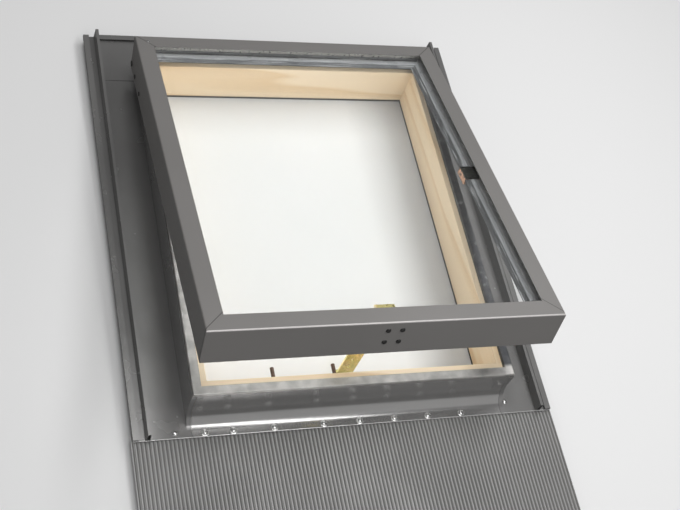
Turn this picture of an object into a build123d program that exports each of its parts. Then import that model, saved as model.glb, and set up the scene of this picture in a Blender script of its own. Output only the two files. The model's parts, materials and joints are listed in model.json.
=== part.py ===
from build123d import *
import os
from math import cos, radians, sin

# A small top-hung roof window of 450 by 550 mm, with the metal flashing that belongs to it.
# X runs across the roof, Y runs up the slope and Z points out of the roof.
# The origin is the middle of the wooden frame, on its underside, and the sash stands open.
# All sizes are in millimetres.

os.makedirs("parts", exist_ok=True)

# Wooden frame
inner_w = 390.0
inner_l = 487.0
board_t = 20.0
frame_depth = 67.0
finger_count = 5
rebate_h = 4.0
rebate_w = 6.0

# Folded sheet flashing round the frame
sheet = 0.8
pan_level = 14.0
pan_w = 68.0
fold_w = 12.3
rib_h = 17.0
rib_at = 47.0
rib_top_w = 2.5
rib_splay = 1.2
head_lap_gap = 1.0
hem_h = 5.0
hem_w = 8.0
gutter_past_head = 81.5
flashing_past_sill = 29.5
cove_out = 20.3
cove_up = 30.0
seam_wrap = 5.0
seam_gap = 0.3

# Pleated skirt below the sill
pleat_pitch = 5.0
pleat_flat = 1.3
pleat_h = 1.8
pleat_sheet = 0.5
skirt_half_w = 285.0
skirt_lap = 9.0
skirt_past_edge = 177.0

# Seals between frame and sash
seal_w = 11.5
seal_h = 3.6
seal_inset = 0.3
seal_round = 1.2
seal_gap = 0.4
gasket_w = 28.0
gasket_h = 3.2
gasket_inset = 1.3
gasket_cut_gap = 1.0

# Glazing
pane_t = 4.0
cavity_t = 8.0
tape_t = 1.0
tape_w = 10.0
spacer_w = 7.0
sealant_w = 4.0
glass_edge_gap = 2.5
glass_foot_gap = 6.5
block_l = 30.0
block_at = 120.0

# Sash profiles
profile_t = 1.5
fold_r = 2.0
flange_w = 24.0
skirt_drop = 55.0
head_drop = 38.0
lip_w = 5.0
side_gap = 7.7
foot_gap = 11.8

# Side hinges
pin_out = 2.1
pin_in = 6.0
pin_drop = 44.0
pin_r = 3.0
shoulder_r = 5.0
leaf_t = 2.0
leaf_end_r = 5.5
leaf_l = 74.0
running = 0.05
face_gap = 0.3
pin_head_r = 4.0
pin_head_t = 1.0
leaf_screw_at = (32.0, 62.0)
leaf_rivet_at = (30.0, 69.0)
open_angle = 13.0

# Stay: a flat bar that hangs from a bracket behind the foot of the sash
stay_x = 3.0
bracket_w = 24.0
bracket_t = 2.0
arm_t = 2.5
bracket_below_top = 5.0
bracket_l = 38.0
arm_gap = 0.7
eye_reach = 40.5
eye_r = 4.0
eye_drop = 5.5
eye_pin_r = 2.0
knuckle_gap = 0.3
lug_knuckle_w = 11.6
lug_t = 2.5
bar_w = 22.0
bar_t = 2.5
bar_l = 152.0
bar_hole_r = 3.2
bar_hole_pitch = 20.0
bar_hole_first = 28.0
grip_r = 3.8
pivot_drop = 22.0
pivot_r = 2.5
pivot_head_r = 4.6
pivot_head_t = 1.5
rivet_pitch_x = 18.0
rivet_pitch_z = 20.0

# Small fasteners
screw_r = 2.0
screw_head_r = 3.6
screw_head_t = 1.6
screw_taper = 45
screw_l = 16.0
rivet_r = 2.0
rivet_head_r = 3.4
rivet_head_t = 1.1
rivet_taper = 30
peg_r = 2.5
peg_out = 14.5
peg_in = 9.5
peg_below_top = 3.5
peg_chamfer = 0.6
peg_xs = (-110.0, -30.0)
apron_rivet_shares = (-0.902, -0.735, -0.488, -0.186, 0.042, 0.265, 0.484, 0.707)
apron_rivet_from_edge = 4.8
right_rivet_out = 4.0
right_rivet_from_edge = 16.0
left_rivet_out = 15.0
left_rivet_from_edge = 7.0
flange_rivet_in = 17.0
flange_rivet_down = 12.0
flange_rivet_head_r = 2.8
flange_rivet_head_t = 0.8

# Clip under the right stile
clip_w = 25.0
clip_t = 1.5
clip_down = 260.0
clip_reach = 35.0
clip_leg = 11.0
clip_return = 3.0
clip_gap = 0.1

# Fixing angles under the flashing
angle_w = 30.0
angle_reach = 40.0
angle_t = 2.0
angle_rise = 13.0
angle_from_end = 83.5
angle_hole_r = 2.75
angle_hole_out = 28.0

# Corner angles inside the sash
corner_leg = 25.0
corner_h = 12.0
corner_drop = 24.0

# Places worked out from the sizes above
outer_w = inner_w + 2 * board_t
outer_l = inner_l + 2 * board_t
finger_h = frame_depth / finger_count
half_w = outer_w / 2
half_l = outer_l / 2
angle_at = half_l - angle_from_end
wall_x = half_w + sheet
pan_top = pan_level + sheet
fold_top = frame_depth + sheet
lower_edge = -(half_l + flashing_past_sill)
upper_edge = half_l + gutter_past_head
pan_length = upper_edge - lower_edge
seal_top = fold_top + seal_h
glass_stack = 2 * pane_t + cavity_t
sash_top = seal_top + seal_gap + gasket_h + glass_stack + tape_t + profile_t
hinge_y = half_l + sheet + pin_out
hinge_z = sash_top - pin_drop
sash_half = wall_x + side_gap + profile_t
head_edge = pin_in
foot_edge = -(hinge_y + half_l + sheet + foot_gap + profile_t)
skirt_in = sash_half - profile_t

# The open sash has its own plane: origin on the hinge line, X across, Y up the sash
tilt = radians(open_angle)
sash = Plane(origin=(0, hinge_y, hinge_z), x_dir=(1, 0, 0), z_dir=(0, sin(tilt), cos(tilt)))


def sash_level(height):
    """Plan of the sash at a height above the hinge line."""
    return sash.offset(height)


def sash_side(across):
    """Side view of the sash: sketch x runs up the sash and y out of it."""
    middle = sash.from_local_coords(Vector(across, 0, 0))
    return Plane(origin=middle, x_dir=sash.y_dir, z_dir=sash.x_dir)


def sash_front(along):
    """Front view of the sash from its foot: sketch x runs across and y out of it."""
    middle = sash.from_local_coords(Vector(0, along, 0))
    return Plane(origin=middle, x_dir=sash.x_dir, z_dir=-sash.y_dir)


def apron_section(top):
    """Side view of the sheet on the sill: down its face and out in a hollow curve to a flat foot."""
    middle = (-(half_l + sheet + cove_out), pan_top + cove_up)
    with BuildSketch(Plane.YZ) as section:
        with BuildLine():
            Polyline((-half_l, top), (-half_l, pan_top + cove_up))
            EllipticalCenterArc(middle, cove_out + sheet, cove_up + sheet, start_angle=270, arc_size=90)
            Polyline((middle[0], pan_level), (lower_edge, pan_level), (lower_edge, pan_top), (middle[0], pan_top))
            EllipticalCenterArc(middle, cove_out, cove_up, start_angle=270, arc_size=90)
            Polyline((-(half_l + sheet), pan_top + cove_up), (-(half_l + sheet), top), (-half_l, top))
        make_face()
    return section.sketch


def mitre(side, end_edge, end):
    """Plane through an outer corner of the sash at 45 degrees, facing the stile."""
    corner = sash.from_local_coords(Vector(side * sash_half, end_edge, 0))
    return Plane(origin=corner, z_dir=sash.x_dir * side - sash.y_dir * end)


# Levels in the sash, measured out from the hinge line
top_level = pin_drop
flange_under = top_level - profile_t
outer_glass_level = flange_under - tape_t - pane_t
inner_glass_level = outer_glass_level - cavity_t - pane_t
gasket_level = inner_glass_level - gasket_h
skirt_foot = top_level - skirt_drop
head_foot = top_level - head_drop
glass_half = skirt_in - glass_edge_gap
glass_head = head_edge - profile_t - glass_edge_gap
glass_foot = foot_edge + profile_t + glass_foot_gap
glass_mid = (glass_head + glass_foot) / 2
glass_l = glass_head - glass_foot

# Stay places
eye_along = foot_edge + profile_t + eye_reach
eye_level = inner_glass_level - eye_drop
eye = sash.from_local_coords(Vector(stay_x, eye_along, eye_level))
pivot_z = eye.Z - pivot_drop
rivet_mid = top_level - bracket_below_top - bracket_l / 2

# Wooden frame: four pine boards joined with fingers at the corners,
# with a rebate along the room edge for the lining seal
for side, hand in ((-1, "left"), (1, "right")):
    with BuildPart() as frame_jamb:
        with BuildSketch(Plane.XY):
            with Locations((side * (half_w - board_t / 2), 0)):
                Rectangle(board_t, outer_l)
        extrude(amount=frame_depth)
        for level in range(0, finger_count, 2):
            with BuildSketch(Plane.XY.offset(level * finger_h)):
                with Locations((side * (half_w - board_t / 2), 0)):
                    with GridLocations(0, outer_l - board_t, 1, 2):
                        Rectangle(board_t, board_t)
            extrude(amount=finger_h, mode=Mode.SUBTRACT)
        with BuildSketch(Plane.XY):
            with Locations((side * (inner_w + rebate_w) / 2, 0)):
                Rectangle(rebate_w, inner_l)
        extrude(amount=rebate_h, mode=Mode.SUBTRACT)
        with BuildSketch(Plane.YZ.offset(side * half_w)):
            with Locations([(hinge_y - at, hinge_z) for at in leaf_screw_at]):
                Circle(screw_r)
        extrude(amount=-side * (screw_l - leaf_t - sheet), mode=Mode.SUBTRACT)
    frame_jamb.part.label = f"frame_jamb_{hand}"
    export_step(frame_jamb.part, f"parts/frame_jamb_{hand}.step")

for end, place in ((-1, "sill"), (1, "head")):
    with BuildPart() as frame_board:
        with BuildSketch(Plane.XY):
            with Locations((0, end * (half_l - board_t / 2))):
                Rectangle(outer_w, board_t)
        extrude(amount=frame_depth)
        for level in range(1, finger_count, 2):
            with BuildSketch(Plane.XY.offset(level * finger_h)):
                with Locations((0, end * (half_l - board_t / 2))):
                    with GridLocations(outer_w - board_t, 0, 2, 1):
                        Rectangle(board_t, board_t)
            extrude(amount=finger_h, mode=Mode.SUBTRACT)
        with BuildSketch(Plane.XY):
            with Locations((0, end * (inner_l + rebate_w) / 2)):
                Rectangle(inner_w + 2 * rebate_w, rebate_w)
        extrude(amount=rebate_h, mode=Mode.SUBTRACT)
        if place == "sill":
            with BuildSketch(Plane.XZ.offset(half_l - board_t)):
                with Locations([(x, frame_depth - peg_below_top) for x in peg_xs]):
                    Circle(peg_r)
            extrude(amount=peg_in, mode=Mode.SUBTRACT)
    frame_board.part.label = f"frame_{place}"
    export_step(frame_board.part, f"parts/frame_{place}.step")

# Black seal in the rebate, where the lining of the room meets the frame
with BuildPart() as lining_seal:
    with BuildSketch(Plane.XY):
        Rectangle(inner_w + 2 * rebate_w, inner_l + 2 * rebate_w)
        Rectangle(inner_w, inner_l, mode=Mode.SUBTRACT)
    extrude(amount=rebate_h)
lining_seal.part.label = "lining_seal"
export_step(lining_seal.part, "parts/lining_seal.step")

# Two round pegs in the sill, where the stay bar is turned under to lock the window
with BuildPart() as sill_pegs:
    with BuildSketch(Plane.XZ.offset(half_l - board_t + peg_in)):
        with Locations([(x, frame_depth - peg_below_top) for x in peg_xs]):
            Circle(peg_r)
    extrude(amount=-(peg_in + peg_out))
    chamfer(sill_pegs.faces().group_by(Axis.Y)[-1].edges(), peg_chamfer)
sill_pegs.part.label = "sill_pegs"
export_step(sill_pegs.part, "parts/sill_pegs.step")

# Side gutter, drawn for the right: one folded sheet with a wall on the jamb, a pan, a standing rib
# and a hemmed edge. The wall's lower end follows the curve of the apron and is bent round the corner.
with BuildPart() as folded_gutter:
    with BuildSketch(Plane.XZ.offset(-upper_edge)):
        with BuildLine():
            Polyline(
                (half_w, pan_level),
                (half_w + rib_at, pan_level),
                (half_w + rib_at + rib_splay, pan_level + rib_h),
                (half_w + rib_at + rib_splay + rib_top_w, pan_level + rib_h),
                (half_w + rib_at + 2 * rib_splay + rib_top_w, pan_level),
                (half_w + pan_w, pan_level),
                (half_w + pan_w, pan_level + hem_h),
                (half_w + pan_w - hem_w, pan_level + hem_h),
            )
            offset(amount=sheet, side=Side.LEFT, kind=Kind.INTERSECTION)
        make_face()
    extrude(amount=pan_length)
    with BuildSketch(Plane.XZ.offset(-half_l)):
        with BuildLine():
            Polyline((half_w - fold_w, frame_depth), (half_w, frame_depth), (half_w, pan_level))
            offset(amount=sheet, side=Side.LEFT, kind=Kind.INTERSECTION)
        make_face()
    extrude(amount=outer_l)
    with BuildSketch(Plane.YZ.offset(half_w)):
        with BuildLine():
            curve_top = (-(half_l + sheet), pan_top + cove_up)
            curve_foot = (-(half_l + sheet + cove_out), pan_top)
            curve_middle = (-(half_l + sheet + cove_out), pan_top + cove_up)
            Polyline((-half_l, pan_level), (-half_l, fold_top), (-(half_l + sheet), fold_top), curve_top)
            EllipticalCenterArc(curve_middle, cove_out, cove_up, start_angle=270, arc_size=90)
            Polyline(curve_foot, (lower_edge, pan_top), (lower_edge, pan_level), (-half_l, pan_level))
        make_face()
    extrude(amount=sheet)
    extrude(Pos(half_w, 0, 0) * apron_section(fold_top), amount=-seam_wrap)
    with BuildSketch(Plane.YZ.offset(half_w)):
        with Locations([(hinge_y - at, hinge_z) for at in leaf_screw_at]):
            Circle(screw_r)
    extrude(amount=sheet, mode=Mode.SUBTRACT)

# Left and right gutter: each has one rivet through its pan, beside the end of the apron
left_rivet_place = (-(wall_x + left_rivet_out), lower_edge + left_rivet_from_edge)
right_rivet_place = (wall_x + right_rivet_out, lower_edge + right_rivet_from_edge)
with BuildPart() as gutter_left:
    mirror(folded_gutter.part, about=Plane.YZ)
    with BuildSketch(Plane.XY.offset(pan_level)):
        with Locations(left_rivet_place):
            Circle(rivet_r)
    extrude(amount=sheet, mode=Mode.SUBTRACT)
gutter_left.part.label = "gutter_left"
export_step(gutter_left.part, "parts/gutter_left.step")

with BuildPart() as gutter_right:
    add(folded_gutter.part)
    with BuildSketch(Plane.XY.offset(pan_level)):
        with Locations(right_rivet_place):
            Circle(rivet_r)
    extrude(amount=sheet, mode=Mode.SUBTRACT)
gutter_right.part.label = "gutter_right"
export_step(gutter_right.part, "parts/gutter_right.step")

# Head flashing: laps over the pans of the side gutters, up to their ribs
head_lap_half = half_w + rib_at - head_lap_gap
with BuildPart() as head_flashing:
    with BuildSketch(Plane.YZ):
        with BuildLine():
            Polyline(
                (half_l, pan_top),
                (upper_edge, pan_top),
                (upper_edge, pan_top + hem_h),
                (upper_edge - hem_w, pan_top + hem_h),
            )
            offset(amount=sheet, side=Side.LEFT, kind=Kind.INTERSECTION)
        make_face()
    extrude(amount=head_lap_half, both=True)
    with BuildSketch(Plane.YZ):
        with Locations((half_l + sheet / 2, (pan_top + fold_top) / 2)):
            Rectangle(sheet, fold_top - pan_top)
    extrude(amount=wall_x, both=True)
    with BuildSketch(Plane.YZ):
        with Locations((half_l - fold_w / 2, frame_depth + sheet / 2)):
            Rectangle(fold_w, sheet)
    extrude(amount=half_w - fold_w, both=True)
head_flashing.part.label = "head_flashing"
export_step(head_flashing.part, "parts/head_flashing.step")

# Apron: folded over the sill, down its face and out in a hollow curve to a flat foot.
# It ends just short of the gutters, which leaves a fine seam at each corner.
apron_rivet_y = lower_edge + apron_rivet_from_edge
apron_rivet_places = [(share * half_w, apron_rivet_y) for share in apron_rivet_shares]
with BuildPart() as apron:
    extrude(apron_section(frame_depth), amount=half_w - seam_wrap - seam_gap, both=True)
    with BuildSketch(Plane.YZ):
        with Locations((-(half_l - (fold_w - sheet) / 2), frame_depth + sheet / 2)):
            Rectangle(fold_w + sheet, sheet)
    extrude(amount=half_w - fold_w, both=True)
    with BuildSketch(Plane.XY.offset(pan_level)):
        with Locations(apron_rivet_places):
            Circle(rivet_r)
    extrude(amount=sheet, mode=Mode.SUBTRACT)
apron.part.label = "apron"
export_step(apron.part, "parts/apron.step")

# Pleated skirt: one sheet in fine pleats that run down the slope, joined to the underside of the apron
pleat_count = round(2 * skirt_half_w / pleat_pitch)
pleat_slope = pleat_pitch / 2 - pleat_flat
pleat_line = []
for n in range(pleat_count):
    left = -skirt_half_w + n * pleat_pitch
    pleat_line += [
        (left, pan_level - pleat_h),
        (left + pleat_flat, pan_level - pleat_h),
        (left + pleat_flat + pleat_slope, pan_level),
        (left + 2 * pleat_flat + pleat_slope, pan_level),
    ]
underside = [(x, z - pleat_sheet) for x, z in reversed(pleat_line)]
with BuildPart() as pleated_skirt:
    with BuildSketch(Plane.XZ.offset(-(lower_edge + skirt_lap))):
        with BuildLine():
            Polyline(*pleat_line, *underside, close=True)
        make_face()
    extrude(amount=skirt_lap + skirt_past_edge)
pleated_skirt.part.label = "pleated_skirt"
export_step(pleated_skirt.part, "parts/pleated_skirt.step")

# Rivets along the foot of the apron
with BuildPart() as apron_rivets:
    with BuildSketch(Plane.XY.offset(pan_level)):
        with Locations(apron_rivet_places):
            Circle(rivet_r)
    extrude(amount=sheet)
    with BuildSketch(Plane.XY.offset(pan_top)):
        with Locations(apron_rivet_places):
            Circle(rivet_head_r)
    extrude(amount=rivet_head_t, taper=rivet_taper)
apron_rivets.part.label = "apron_rivets"
export_step(apron_rivets.part, "parts/apron_rivets.step")

# Rivets in the pans of the side gutters
with BuildPart() as seam_rivets:
    with BuildSketch(Plane.XY.offset(pan_level)):
        with Locations(left_rivet_place, right_rivet_place):
            Circle(rivet_r)
    extrude(amount=sheet)
    with BuildSketch(Plane.XY.offset(pan_top)):
        with Locations(left_rivet_place, right_rivet_place):
            Circle(rivet_head_r)
    extrude(amount=rivet_head_t, taper=rivet_taper)
seam_rivets.part.label = "seam_rivets"
export_step(seam_rivets.part, "parts/seam_rivets.step")

# Seal on the folded top edge of the flashing
with BuildPart() as frame_seal:
    with BuildSketch(Plane.XY.offset(fold_top)):
        Rectangle(2 * (half_w - seal_inset), 2 * (half_l - seal_inset))
        Rectangle(
            2 * (half_w - seal_inset - seal_w), 2 * (half_l - seal_inset - seal_w), mode=Mode.SUBTRACT
        )
    extrude(amount=seal_h)
    fillet(frame_seal.faces().sort_by(Axis.Z)[-1].edges(), seal_round)
frame_seal.part.label = "frame_seal"
export_step(frame_seal.part, "parts/frame_seal.step")

# Fixing angles: screwed to the frame below the flashing and down to the roof battens
for side, hand in ((-1, "left"), (1, "right")):
    for end, place in ((-1, "low"), (1, "high")):
        with BuildPart() as fixing_angle:
            with BuildSketch(Plane.XZ.offset(-(end * angle_at + angle_w / 2))):
                with BuildLine():
                    Polyline(
                        (side * half_w, angle_rise),
                        (side * half_w, 0),
                        (side * (half_w + angle_reach), 0),
                        (side * (half_w + angle_reach), angle_t),
                        (side * (half_w + angle_t), angle_t),
                        (side * (half_w + angle_t), angle_rise),
                        close=True,
                    )
                make_face()
            extrude(amount=angle_w)
            with BuildSketch(Plane.XY):
                with Locations((side * (half_w + angle_hole_out), end * angle_at)):
                    Circle(angle_hole_r)
            extrude(amount=angle_t, mode=Mode.SUBTRACT)
        fixing_angle.part.label = f"fixing_angle_{hand}_{place}"
        export_step(fixing_angle.part, f"parts/fixing_angle_{hand}_{place}.step")

# Hinge leaves on the frame: slotted plates with a round end about the pin, screwed through the jamb
for side, hand in ((-1, "left"), (1, "right")):
    with BuildPart() as frame_leaf:
        with BuildSketch(Plane.YZ.offset(side * wall_x)):
            with Locations((hinge_y - leaf_l / 2, hinge_z)):
                SlotCenterToCenter(leaf_l, 2 * leaf_end_r)
            with Locations((hinge_y, hinge_z)):
                Circle(pin_r, mode=Mode.SUBTRACT)
            with Locations([(hinge_y - at, hinge_z) for at in leaf_screw_at]):
                Circle(screw_r, mode=Mode.SUBTRACT)
        extrude(amount=side * leaf_t)
        with BuildSketch(Plane.YZ.offset(side * (wall_x + leaf_t))):
            with Locations([(hinge_y - at, hinge_z) for at in leaf_screw_at]):
                Circle(screw_head_r)
        extrude(amount=-side * screw_head_t, taper=screw_taper, mode=Mode.SUBTRACT)
    frame_leaf.part.label = f"hinge_frame_leaf_{hand}"
    export_step(frame_leaf.part, f"parts/hinge_frame_leaf_{hand}.step")

    with BuildPart() as hinge_pin:
        with BuildSketch(Plane.YZ.offset(side * wall_x)):
            with Locations((hinge_y, hinge_z)):
                Circle(pin_r)
        extrude(amount=side * (side_gap + profile_t + face_gap))
        with BuildSketch(Plane.YZ.offset(side * (wall_x + leaf_t))):
            with Locations((hinge_y, hinge_z)):
                Circle(shoulder_r)
        extrude(amount=side * (side_gap - 2 * leaf_t - face_gap))
        with BuildSketch(Plane.YZ.offset(side * (sash_half + face_gap))):
            with Locations((hinge_y, hinge_z)):
                Circle(pin_head_r)
        extrude(amount=side * pin_head_t)
    hinge_pin.part.label = f"hinge_pin_{hand}"
    export_step(hinge_pin.part, f"parts/hinge_pin_{hand}.step")

with BuildPart() as hinge_screws:
    for side in (-1, 1):
        with BuildSketch(Plane.YZ.offset(side * (wall_x + leaf_t))):
            with Locations([(hinge_y - at, hinge_z) for at in leaf_screw_at]):
                Circle(screw_r)
        extrude(amount=-side * screw_l)
        with BuildSketch(Plane.YZ.offset(side * (wall_x + leaf_t))):
            with Locations([(hinge_y - at, hinge_z) for at in leaf_screw_at]):
                Circle(screw_head_r)
        extrude(amount=-side * screw_head_t, taper=screw_taper)
hinge_screws.part.label = "hinge_screws"
export_step(hinge_screws.part, "parts/hinge_screws.step")

# Sash: four folded metal profiles, mitred at the corners.
# Each has a top flange over the glass, a deep outer wall and a small lip turned in at its foot.
for side, hand in ((-1, "left"), (1, "right")):
    with BuildPart() as sash_stile:
        with BuildSketch(sash_front(foot_edge)):
            with BuildLine():
                FilletPolyline(
                    (side * (sash_half - flange_w), top_level),
                    (side * sash_half, top_level),
                    (side * sash_half, skirt_foot),
                    (side * (skirt_in - lip_w), skirt_foot),
                    radius=fold_r,
                )
                offset(amount=profile_t, side=Side.RIGHT if side > 0 else Side.LEFT, kind=Kind.INTERSECTION)
            make_face()
        extrude(amount=-(head_edge - foot_edge))
        split(bisect_by=mitre(side, head_edge, 1), keep=Keep.TOP)
        split(bisect_by=mitre(side, foot_edge, -1), keep=Keep.TOP)
        with BuildSketch(sash_side(side * skirt_in)):
            Circle(pin_r + running)
            with Locations([(-at, 0) for at in leaf_rivet_at]):
                Circle(rivet_r)
        extrude(amount=side * profile_t, mode=Mode.SUBTRACT)
        if side > 0:
            with BuildSketch(sash_side(skirt_in)):
                with Locations((head_edge - clip_down - clip_w / 2, inner_glass_level - clip_leg / 2)):
                    Circle(rivet_r)
            extrude(amount=profile_t, mode=Mode.SUBTRACT)
    sash_stile.part.label = f"sash_stile_{hand}"
    export_step(sash_stile.part, f"parts/sash_stile_{hand}.step")

for end, edge, foot, place in ((-1, foot_edge, skirt_foot, "foot"), (1, head_edge, head_foot, "head")):
    with BuildPart() as sash_rail:
        with BuildSketch(sash_side(-sash_half)):
            with BuildLine():
                FilletPolyline(
                    (edge - end * flange_w, top_level),
                    (edge, top_level),
                    (edge, foot),
                    (edge - end * (profile_t + lip_w), foot),
                    radius=fold_r,
                )
                offset(amount=profile_t, side=Side.RIGHT if end > 0 else Side.LEFT, kind=Kind.INTERSECTION)
            make_face()
        extrude(amount=2 * sash_half)
        for side in (-1, 1):
            split(bisect_by=mitre(side, edge, end), keep=Keep.BOTTOM)
        if place == "foot":
            with BuildSketch(sash_front(foot_edge)):
                with Locations((stay_x, rivet_mid)):
                    with GridLocations(rivet_pitch_x, rivet_pitch_z, 2, 2):
                        Circle(rivet_r)
            extrude(amount=-profile_t, mode=Mode.SUBTRACT)
        else:
            with BuildSketch(sash_level(flange_under)):
                with Locations((flange_rivet_in - sash_half, head_edge - flange_rivet_down)):
                    Circle(rivet_r)
            extrude(amount=profile_t, mode=Mode.SUBTRACT)
    sash_rail.part.label = f"sash_{place}_rail"
    export_step(sash_rail.part, f"parts/sash_{place}_rail.step")

# Small rivet through the head rail's flange, near its left end
with BuildPart() as flange_rivet:
    with BuildSketch(sash_level(flange_under)):
        with Locations((flange_rivet_in - sash_half, head_edge - flange_rivet_down)):
            Circle(rivet_r)
    extrude(amount=profile_t)
    with BuildSketch(sash_level(top_level)):
        with Locations((flange_rivet_in - sash_half, head_edge - flange_rivet_down)):
            Circle(flange_rivet_head_r)
    extrude(amount=flange_rivet_head_t, taper=rivet_taper)
flange_rivet.part.label = "flange_rivet"
export_step(flange_rivet.part, "parts/flange_rivet.step")

# Corner angles: riveted inside the outer walls, just below the glass
corner_level = top_level - corner_drop - corner_h
with BuildPart() as corner_angles:
    for side in (-1, 1):
        for end, edge in ((-1, foot_edge), (1, head_edge)):
            wall = edge - end * profile_t
            with BuildSketch(sash_level(corner_level)):
                with Locations((side * (skirt_in - profile_t / 2), wall - end * corner_leg / 2)):
                    Rectangle(profile_t, corner_leg)
                with Locations((side * (skirt_in - corner_leg / 2), wall - end * profile_t / 2)):
                    Rectangle(corner_leg, profile_t)
            extrude(amount=corner_h)
corner_angles.part.label = "corner_angles"
export_step(corner_angles.part, "parts/corner_angles.step")

# Insulating glass, bonded under the flanges: tape, outer pane, spacer, edge sealant, inner pane
with BuildPart() as glazing_tape:
    with BuildSketch(sash_level(flange_under - tape_t)):
        with Locations((0, glass_mid)):
            Rectangle(2 * glass_half, glass_l)
            Rectangle(2 * (glass_half - tape_w), glass_l - 2 * tape_w, mode=Mode.SUBTRACT)
    extrude(amount=tape_t)
glazing_tape.part.label = "glazing_tape"
export_step(glazing_tape.part, "parts/glazing_tape.step")

for name, level in (("outer_glass", outer_glass_level), ("inner_glass", inner_glass_level)):
    with BuildPart() as pane:
        with BuildSketch(sash_level(level)):
            with Locations((0, glass_mid)):
                Rectangle(2 * glass_half, glass_l)
        extrude(amount=pane_t)
    pane.part.label = name
    export_step(pane.part, f"parts/{name}.step")

for name, out, width in (("edge_sealant", 0, sealant_w), ("glass_spacer", sealant_w, spacer_w)):
    with BuildPart() as ring:
        with BuildSketch(sash_level(inner_glass_level + pane_t)):
            with Locations((0, glass_mid)):
                Rectangle(2 * (glass_half - out), glass_l - 2 * out)
                Rectangle(2 * (glass_half - out - width), glass_l - 2 * (out + width), mode=Mode.SUBTRACT)
        extrude(amount=cavity_t)
    ring.part.label = name
    export_step(ring.part, f"parts/{name}.step")

# Setting blocks carry the glass on the foot of the sash
with BuildPart() as setting_blocks:
    with BuildSketch(sash_level(inner_glass_level)):
        with Locations([(side * block_at, glass_foot - glass_foot_gap / 2) for side in (-1, 1)]):
            Rectangle(block_l, glass_foot_gap)
    extrude(amount=glass_stack)
setting_blocks.part.label = "setting_blocks"
export_step(setting_blocks.part, "parts/setting_blocks.step")

# Gasket under the glass, cut away where the stay bracket and the stile clip pass
arm_level = inner_glass_level - arm_gap - arm_t
clip_along = head_edge - clip_down - clip_w / 2
with BuildPart() as sash_gasket:
    with BuildSketch(sash_level(gasket_level)):
        with Locations((0, -hinge_y)):
            Rectangle(2 * (half_w - gasket_inset), 2 * (half_l - gasket_inset))
            Rectangle(
                2 * (half_w - gasket_inset - gasket_w),
                2 * (half_l - gasket_inset - gasket_w),
                mode=Mode.SUBTRACT,
            )
        with Locations((stay_x, -hinge_y - half_l + gasket_inset + gasket_w / 2)):
            Rectangle(bracket_w + 2 * gasket_cut_gap, 2 * gasket_w, mode=Mode.SUBTRACT)
        with Locations((half_w - gasket_inset - gasket_w / 2, clip_along)):
            Rectangle(2 * gasket_w, clip_w + 2 * gasket_cut_gap, mode=Mode.SUBTRACT)
    extrude(amount=gasket_h)
sash_gasket.part.label = "sash_gasket"
export_step(sash_gasket.part, "parts/sash_gasket.step")

# Hinge leaves on the sash: they turn on the pins and are riveted to the stiles
for side, hand in ((-1, "left"), (1, "right")):
    with BuildPart() as sash_leaf:
        with BuildSketch(sash_side(side * (skirt_in - leaf_t))):
            with Locations((-leaf_l / 2, 0)):
                SlotCenterToCenter(leaf_l, 2 * leaf_end_r)
            Circle(pin_r + running, mode=Mode.SUBTRACT)
            with Locations([(-at, 0) for at in leaf_rivet_at]):
                Circle(rivet_r, mode=Mode.SUBTRACT)
        extrude(amount=side * leaf_t)
    sash_leaf.part.label = f"hinge_sash_leaf_{hand}"
    export_step(sash_leaf.part, f"parts/hinge_sash_leaf_{hand}.step")

with BuildPart() as hinge_rivets:
    for side in (-1, 1):
        with BuildSketch(sash_side(side * (skirt_in - leaf_t))):
            with Locations([(-at, 0) for at in leaf_rivet_at]):
                Circle(rivet_r)
        extrude(amount=side * (leaf_t + profile_t))
        with BuildSketch(sash_side(side * sash_half)):
            with Locations([(-at, 0) for at in leaf_rivet_at]):
                Circle(rivet_head_r)
        extrude(amount=side * rivet_head_t, taper=rivet_taper)
hinge_rivets.part.label = "hinge_rivets"
export_step(hinge_rivets.part, "parts/hinge_rivets.step")

# Bronze clip that reaches in under the glass from the right stile
with BuildPart() as stile_clip:
    with BuildSketch(sash_front(clip_along - clip_w / 2)):
        with BuildLine():
            Polyline(
                (skirt_in, inner_glass_level - clip_leg),
                (skirt_in, inner_glass_level - clip_gap),
                (skirt_in - clip_reach, inner_glass_level - clip_gap),
                (skirt_in - clip_reach, inner_glass_level - clip_leg),
                (skirt_in - clip_reach + clip_return, inner_glass_level - clip_leg),
            )
            offset(amount=clip_t, side=Side.LEFT, kind=Kind.INTERSECTION)
        make_face()
    extrude(amount=-clip_w)
    with BuildSketch(sash_side(skirt_in - clip_t)):
        with Locations((clip_along, inner_glass_level - clip_leg / 2)):
            Circle(rivet_r)
    extrude(amount=clip_t, mode=Mode.SUBTRACT)
stile_clip.part.label = "stile_clip"
export_step(stile_clip.part, "parts/stile_clip.step")

with BuildPart() as clip_screw:
    with BuildSketch(sash_side(skirt_in - clip_t)):
        with Locations((clip_along, inner_glass_level - clip_leg / 2)):
            Circle(rivet_r)
    extrude(amount=clip_t + profile_t)
    with BuildSketch(sash_side(skirt_in - clip_t)):
        with Locations((clip_along, inner_glass_level - clip_leg / 2)):
            Circle(rivet_head_r)
    extrude(amount=-rivet_head_t, taper=rivet_taper)
clip_screw.part.label = "clip_screw"
export_step(clip_screw.part, "parts/clip_screw.step")

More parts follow.
